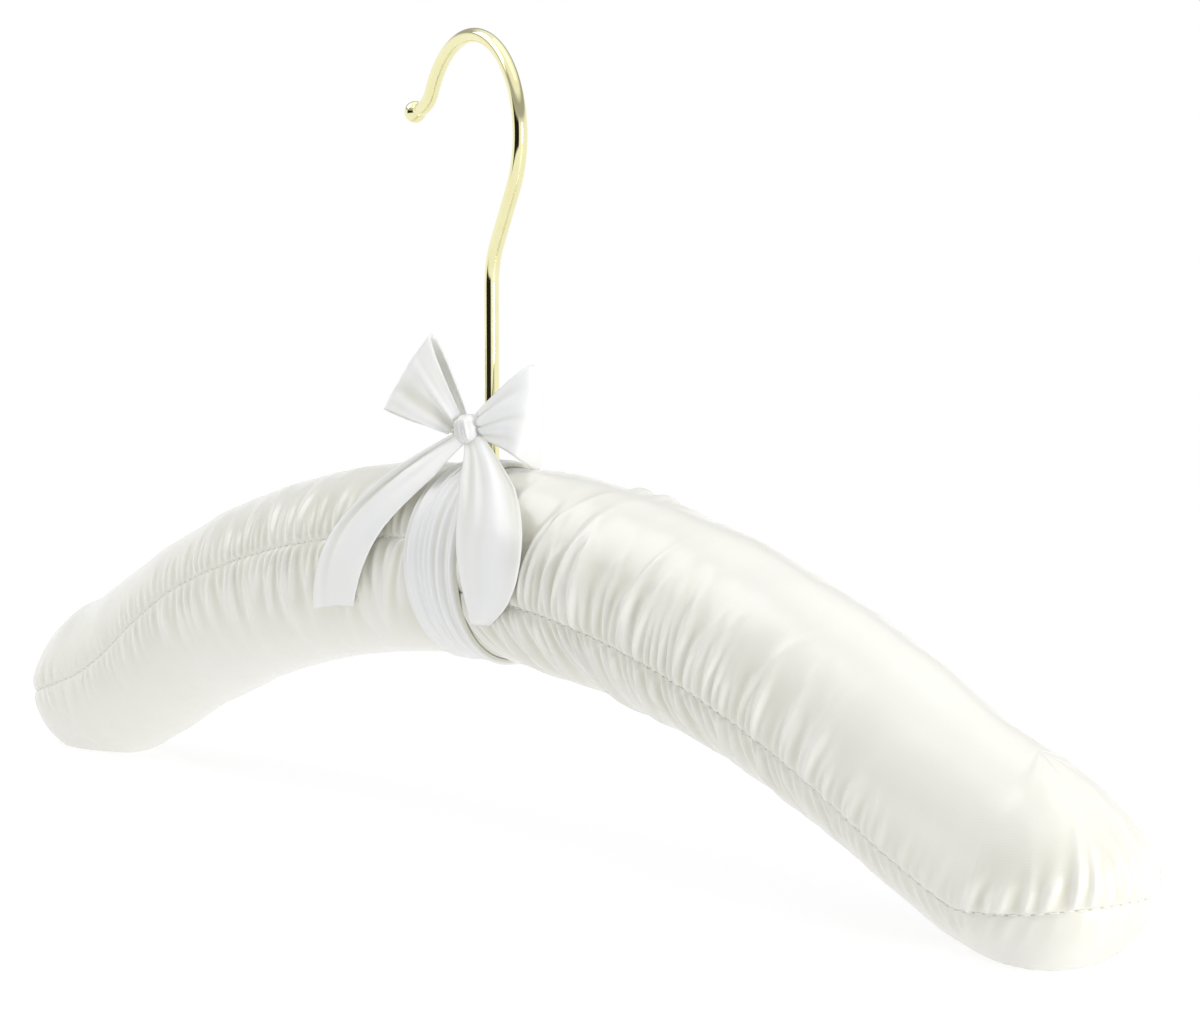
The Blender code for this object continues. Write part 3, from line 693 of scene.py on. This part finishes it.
def add_hook(gold):
    """Gold wire drawn up the stem, bent back over the rail and out again at the tip, with a crimped ball."""
    deselect()
    bpy.ops.mesh.primitive_circle_add(vertices=32, radius=WIRE_RADIUS, location=(0, 0, WIRE_FOOT))
    wire = bpy.context.object
    wire.name = "gold_hook"
    bpy.ops.object.transform_apply(location=True, rotation=True, scale=True)
    open_edit(wire)
    bpy.ops.mesh.select_all(action="SELECT")
    rise = HOOK_CENTRE[1] - STEM_TOP_Z
    run = LOWER_BEND_RADIUS - HOOK_CENTRE[0]
    lean = math.atan2(rise, run) - math.acos((HOOK_RADIUS + LOWER_BEND_RADIUS) / math.hypot(rise, run))
    push(STEM_TOP_Z - WIRE_FOOT, QUARTER)
    bend((LOWER_BEND_RADIUS, STEM_TOP_Z), lean, 14)
    turned = math.pi - lean
    start = (LOWER_BEND_RADIUS * (1 + math.cos(turned)), STEM_TOP_Z + LOWER_BEND_RADIUS * math.sin(turned))
    goal = (HOOK_CENTRE[0] + HOOK_RADIUS * math.cos(-lean), HOOK_CENTRE[1] + HOOK_RADIUS * math.sin(-lean))
    push(math.dist(start, goal), math.atan2(goal[1] - start[1], goal[0] - start[0]))
    bend(HOOK_CENTRE, -(HOOK_ARC_END + lean), 96)
    out = HOOK_RADIUS + TIP_BEND_RADIUS
    turn_centre = (HOOK_CENTRE[0] + out * math.cos(HOOK_ARC_END), HOOK_CENTRE[1] + out * math.sin(HOOK_ARC_END))
    bend(turn_centre, TIP_BEND_TURN, 16)
    heading = HOOK_ARC_END + QUARTER - TIP_BEND_TURN
    push(TIP_STRAIGHT, heading)
    close_edit()
    end_turn = HOOK_ARC_END - math.pi - TIP_BEND_TURN
    tip = Vector((turn_centre[0] + TIP_BEND_RADIUS * math.cos(end_turn) + TIP_STRAIGHT * math.cos(heading), 0,
                  turn_centre[1] + TIP_BEND_RADIUS * math.sin(end_turn) + TIP_STRAIGHT * math.sin(heading)))
    weld(wire, 0.001 * MM)
    open_edit(wire)
    bpy.ops.mesh.select_mode(type="EDGE")
    bpy.ops.mesh.select_all(action="DESELECT")
    bpy.ops.mesh.select_non_manifold()
    bpy.ops.mesh.edge_face_add()
    bpy.ops.mesh.select_all(action="SELECT")
    bpy.ops.mesh.normals_make_consistent(inside=False)
    close_edit()
    deselect()
    wire.select_set(True)
    bpy.context.view_layer.objects.active = wire
    bpy.ops.object.shade_smooth_by_angle(angle=math.radians(40))
    turn_about_stem(wire)
    hand_over(wire, gold, "hook", ["hook_wire"])
    add_tip_ball(gold, tip, Vector((math.cos(heading), 0, math.sin(heading))))


def add_tip_ball(gold, tip, heading):
    """Ball on the wire's end: a sphere drawn out into a collar on the wire's side and dimpled at its pole."""
    radius = (BALL_HIGH.z - BALL_LOW.z) / 2
    deselect()
    bpy.ops.mesh.primitive_uv_sphere_add(segments=48, ring_count=32, radius=radius)
    ball = bpy.context.object
    ball.name = "gold_tip_ball"
    for vertex in ball.data.vertices:
        vertex.select = False
    for face in ball.data.polygons:
        face.select = face.center.z < -0.78 * radius
    for edge in ball.data.edges:
        edge.select = False
    open_edit(ball)
    bpy.ops.mesh.select_mode(type="FACE")
    bpy.ops.mesh.extrude_region_move(TRANSFORM_OT_translate={"value": (0, 0, -0.42 * radius)})
    bpy.ops.transform.resize(value=(1.06, 1.06, 0.15), center_override=(0, 0, -1.30 * radius))
    bpy.ops.mesh.select_all(action="SELECT")
    bpy.ops.mesh.normals_make_consistent(inside=False)
    close_edit()
    for vertex in ball.data.vertices:
        if vertex.co.z > 0.9 * radius:
            vertex.co.z -= 1.1 * (vertex.co.z - 0.9 * radius)
    place = Matrix.Translation(tip) @ heading.to_track_quat("Z", "Y").to_matrix().to_4x4()
    ball.data.transform(place)
    turn_about_stem(ball)
    deselect()
    ball.select_set(True)
    bpy.context.view_layer.objects.active = ball
    bpy.ops.object.shade_smooth_by_angle(angle=math.radians(50))
    hand_over(ball, gold, "hook", ["hook_tip_ball"])


def turn_about_stem(item):
    item.data.transform(Matrix.Rotation(HOOK_TURN, 4, "Z"))


# --- Ribbon ---

RIBBON_WIDTH = 23 * MM
RIBBON_PINCH = 6 * MM
RIBBON_THICKNESS = 0.3 * MM
LOOP_BULGE = 4.5 * MM
LEFT_LOOP = {"side": -1, "reach": 19.5 * MM, "rise": math.radians(37), "swing": math.radians(10), "tuck": 0.0,
             "seed": 3}
RIGHT_LOOP = {"side": 1, "reach": 16.5 * MM, "rise": math.radians(10), "swing": math.radians(22), "tuck": 0.26,
              "seed": 8}
TAIL_TOP = math.radians(64)
LEFT_TAIL = {"side": -1, "runs": (6, 25, 39), "halves": (5.5, 9.5, 8.5), "low": math.radians(-25), "puff": 1.2,
             "seed": 14}
RIGHT_TAIL = {"side": 1, "runs": (6, 23.5, 18.5), "halves": (5.5, 11.5, 3), "low": math.radians(-28), "puff": 2.2,
              "seed": 19}



def pleats(share, across, count, height, reach, rng):
    """Fine folds that leave the knot side by side and die away along the ribbon."""
    total = np.zeros(np.broadcast(share, across).shape)
    for _ in range(count):
        place = rng.uniform(-0.92, 0.92)
        width = rng.uniform(0.07, 0.15)
        fade = reach * rng.uniform(0.6, 1.4)
        tall = height * rng.uniform(0.5, 1.0) * rng.choice((-1, 1))
        total = total + tall * np.exp(-0.5 * ((across - place) / width) ** 2) * np.exp(-(share / fade) ** 1.5)
    return total


def finish_ribbon(item, name, ribbon):
    thicken(item, RIBBON_THICKNESS, 0.0)
    hand_over(item, ribbon, "root", [name])


def add_loop(name, ribbon, side, reach, rise, swing, tuck, seed):
    """Loop of the bow: pleated at the knot, shut along its top, open below, folded over and back behind."""
    rng = np.random.default_rng(seed)
    level = np.array([side * math.cos(swing), side * math.sin(swing), 0])
    ahead = level * math.cos(rise) + np.array([0, 0, math.sin(rise)])
    above = -level * math.sin(rise) + np.array([0, 0, math.cos(rise)])
    toward = np.array([math.sin(swing), -math.cos(swing), 0])
    beside = 3.2 * MM + RIBBON_PINCH / 2 * math.sin(rise)
    root = np.array([side * beside, KNOT.y, KNOT.z + 1.0 * MM])
    turn = np.linspace(0, math.pi, 91)[:, None]
    across = np.linspace(-1, 1, 33)[None, :]
    out = np.sin(turn) ** 0.9
    gape = 0.22 + 0.78 * (0.5 - 0.5 * across) ** 0.8
    depth = LOOP_BULGE * np.sin(2 * turn) * gape + 1.1 * MM * np.cos(turn)
    half = (RIBBON_PINCH + (RIBBON_WIDTH - RIBBON_PINCH) * np.sin(turn) ** 0.85) / 2
    belly = np.sin(2 * turn)
    shift = 1.6 * MM * belly * (0.5 - 0.5 * across) + 0.3 * MM * belly
    from_knot = np.minimum(turn, math.pi - turn) / QUARTER
    folds = pleats(from_knot, across, 11, 0.65 * MM, 0.55, rng)
    curl = (0.04 * across ** 2 + tuck * (0.5 - 0.5 * across) ** 2) * np.sin(turn)
    length_out = reach * out * (1 - curl)
    points = (root + ahead * length_out[..., None] + above * (half * across + shift)[..., None]
              + toward * (depth + folds)[..., None])
    uv = np.stack(np.broadcast_arrays(turn / math.pi * 50 * MM, across * RIBBON_WIDTH / 2), axis=-1)
    item = grid_object(name.replace("ribbon_", "bow_"), points, uv)
    # Painted shade in the hollows of the pleats
    store_painted_shade(item, 0.6 * np.clip(-folds / (0.5 * MM), 0, 1))
    finish_ribbon(item, name, ribbon)


def through(values, share):
    """Smooth curve through three values, at the start, halfway and at the end."""
    first, middle, last = values
    return first * (1 - share) * (1 - 2 * share) + 4 * middle * share * (1 - share) + last * share * (2 * share - 1)


def add_tail(name, ribbon, side, runs, halves, low, puff, seed):
    """Tail of the bow: out of the knot, over the band and down the front of the arm."""
    rng = np.random.default_rng(seed)
    share = np.linspace(0, 1, 81)[:, None]
    across = np.linspace(-1, 1, 33)[None, :]
    lift = TAIL_TOP + (low - TAIL_TOP) * share
    run = through(runs, share) * MM + through(halves, share) * MM * across
    rest = 2.25 * MM + puff * MM * np.sin(math.pi * share) ** 2
    folds = pleats(share, across, 9, 0.7 * MM, 0.45, rng)
    ripple = 0.5 * MM * np.sin(2.2 * across + 3 * share + seed) * share
    edges = -0.9 * MM * across ** 4 * np.sin(math.pi * share)
    points = body_points(side, run, 0.0, lift, rest + folds * np.minimum(1, share * 5) + ripple + edges)
    start = np.array([side * 1.8 * MM, KNOT.y - 0.5 * MM, KNOT.z - 1.2 * MM])
    first = points[0, 16].copy()
    ease = np.clip(1 - share / 0.42, 0, 1) ** 1.7
    points = points + (start - first) * ease[..., None]
    pinch = (1 - 0.40 * np.clip(1 - share / 0.2, 0, 1))[..., None]
    middle = points[:, 16:17]
    points = middle + (points - middle) * pinch
    length = float(np.linalg.norm(np.diff(points[:, 16], axis=0), axis=1).sum())
    uv = np.stack(np.broadcast_arrays(share * length, across * RIBBON_WIDTH / 2), axis=-1)
    item = grid_object(name.replace("ribbon_", "bow_"), points, uv, flip=side > 0)
    # Painted shade in the hollows of the pleats
    store_painted_shade(item, 0.6 * np.clip(-folds / (0.5 * MM), 0, 1))
    finish_ribbon(item, name, ribbon)


KNOT_SIZE = (6.6 * MM, 5.8 * MM, 7.0 * MM)
KNOT_FOLDS = [(-0.62, 0.10), (-0.28, 0.07), (0.05, 0.09), (0.38, 0.06), (0.70, 0.10)]


def add_knot(ribbon):
    """Knot: a rounded block wrapped by a strand of ribbon, with folds that run down its front."""
    deselect()
    bpy.ops.mesh.primitive_cube_add(size=1, location=(0, 0, 0))
    knot = bpy.context.object
    knot.name = "tied_knot"
    knot.scale = KNOT_SIZE
    bpy.ops.object.transform_apply(location=False, rotation=False, scale=True)
    open_edit(knot)
    bpy.ops.mesh.select_all(action="SELECT")
    bpy.ops.mesh.subdivide(number_cuts=21, smoothness=0.0)
    close_edit()
    size = np.array(KNOT_SIZE) / 2
    for vertex in knot.data.vertices:
        share = np.array(vertex.co) / size
        round_share = share / max(1e-6, (np.abs(share) ** 3.2).sum() ** (1 / 3.2)) * np.abs(share).max()
        waist = 1 - 0.16 * share[2] ** 2
        across = share[0] + 0.30 * share[2]
        folds = sum(math.exp(-0.5 * ((across - place) / width) ** 2) for place, width in KNOT_FOLDS)
        grow = 1 + 0.24 * folds * (1 - abs(share[2]) ** 4)
        vertex.co = Vector(round_share * size * np.array([waist, grow, 1])) + KNOT
    knot.data.update()
    deselect()
    knot.select_set(True)
    bpy.context.view_layer.objects.active = knot
    bpy.ops.object.shade_smooth()
    hand_over(knot, ribbon, "root", ["ribbon_knot"])


def add_neck_loop(ribbon):
    """Turn of ribbon round the stem, creased along its length."""
    turns = np.linspace(0, 2 * math.pi, 65)[:-1][None, :]
    height = np.linspace(-1, 1, 17)[:, None]
    radius = WIRE_RADIUS + 0.62 * MM + 0.16 * MM * np.cos(height * 9 + 0.4 * np.sin(turns)) + 0 * turns
    points = np.stack(np.broadcast_arrays(radius * np.cos(turns), radius * np.sin(turns),
                                          KNOT.z + height * 2.5 * MM), axis=-1)
    uv = np.stack(np.broadcast_arrays(turns * 2.4 * MM, height * 2.5 * MM), axis=-1)
    item = grid_object("neck_ribbon", points, uv, closed_rows=True, flip=True)
    thicken(item, RIBBON_THICKNESS, 0.0)
    hand_over(item, ribbon, "root", ["ribbon_neck_loop"])


BAND_OUT = 0.9 * MM
BAND_HEM = 0.35 * MM


def add_band(ribbon):
    """Pleated band: the ribbon's pleats run round the body and draw together under the knot."""
    turns = np.linspace(0, 2 * math.pi, 361)[:-1][None, :]
    across = np.linspace(-1, 1, 121)[:, None]
    rng = np.random.default_rng(5)
    over_top = np.clip(np.sin(turns), 0, 1) ** 3
    below = np.clip(-np.sin(turns), 0, 1) ** 2
    run = across * BAND_HALF * (1 - 0.30 * over_top - 0.10 * below)
    out = BAND_OUT + 0 * turns * across
    for place in np.arange(-0.88, 0.95, 0.19):
        drift = place + rng.uniform(-0.04, 0.04) * np.sin(turns + rng.uniform(0, 6)) \
            + 0.02 * np.sin(2 * turns + rng.uniform(0, 6))
        width = rng.uniform(0.045, 0.075)
        tall = rng.uniform(0.55, 1.1) * MM * (0.75 + 0.25 * np.sin(turns + rng.uniform(0, 6)))
        out = out + tall * np.exp(-0.5 * (np.abs(across - drift) / width) ** 1.7)
    hem = np.clip((1 - np.abs(across)) / 0.10, 0, 1) ** 0.5
    out = BAND_HEM + (out - BAND_HEM) * hem
    x, z, slope = centre_line(np.abs(run))
    high, wide = section(np.abs(run))
    up = (high + out) * np.sin(turns)
    sides = np.sign(run)
    points = np.stack([sides * (x + up * np.sin(slope)), -(wide + out) * np.cos(turns),
                       MIDDLE_Z + z + up * np.cos(slope)], axis=-1)
    uv = np.stack(np.broadcast_arrays(turns * 20 * MM, across * 12 * MM), axis=-1)
    item = grid_object("pleated_band", points, uv, closed_rows=True)
    # Painted shade where the band sits lowest, between the pleats and at its hems
    store_painted_shade(item, np.clip(1 - (out - BAND_OUT) / (0.5 * MM), 0, 1))
    thicken(item, RIBBON_THICKNESS)
    hand_over(item, ribbon, "root", ["centre_band"])


gold = gold_finish()
steel = steel_finish()
thread = thread_finish()
satin = satin_finish("ivory_satin", (0.895, 0.885, 0.815), (0.87, 0.855, 0.775), 0.18)
ribbon = satin_finish("white_ribbon", (0.92, 0.925, 0.91), (0.895, 0.90, 0.885), 0.26)
add_camera()
add_floor()
add_studio()
add_sleeves(satin)
for arm in (1, -1):
    add_stitches(arm, thread)
add_hook(gold)
add_knot(ribbon)
add_band(ribbon)
add_neck_loop(ribbon)
add_loop("ribbon_left_loop", ribbon, **LEFT_LOOP)
add_loop("ribbon_right_loop", ribbon, **RIGHT_LOOP)
add_tail("ribbon_left_tail", ribbon, **LEFT_TAIL)
add_tail("ribbon_right_tail", ribbon, **RIGHT_TAIL)
wood_finish().apply(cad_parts["wooden_core"])
wadding = wadding_finish()
for name in ("left_padding", "right_padding"):
    wadding.apply(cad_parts[name])
for name in ("stem_washer", "stem_nut"):
    steel.apply(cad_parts[name])
gold.apply(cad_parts["stem_eyelet"])
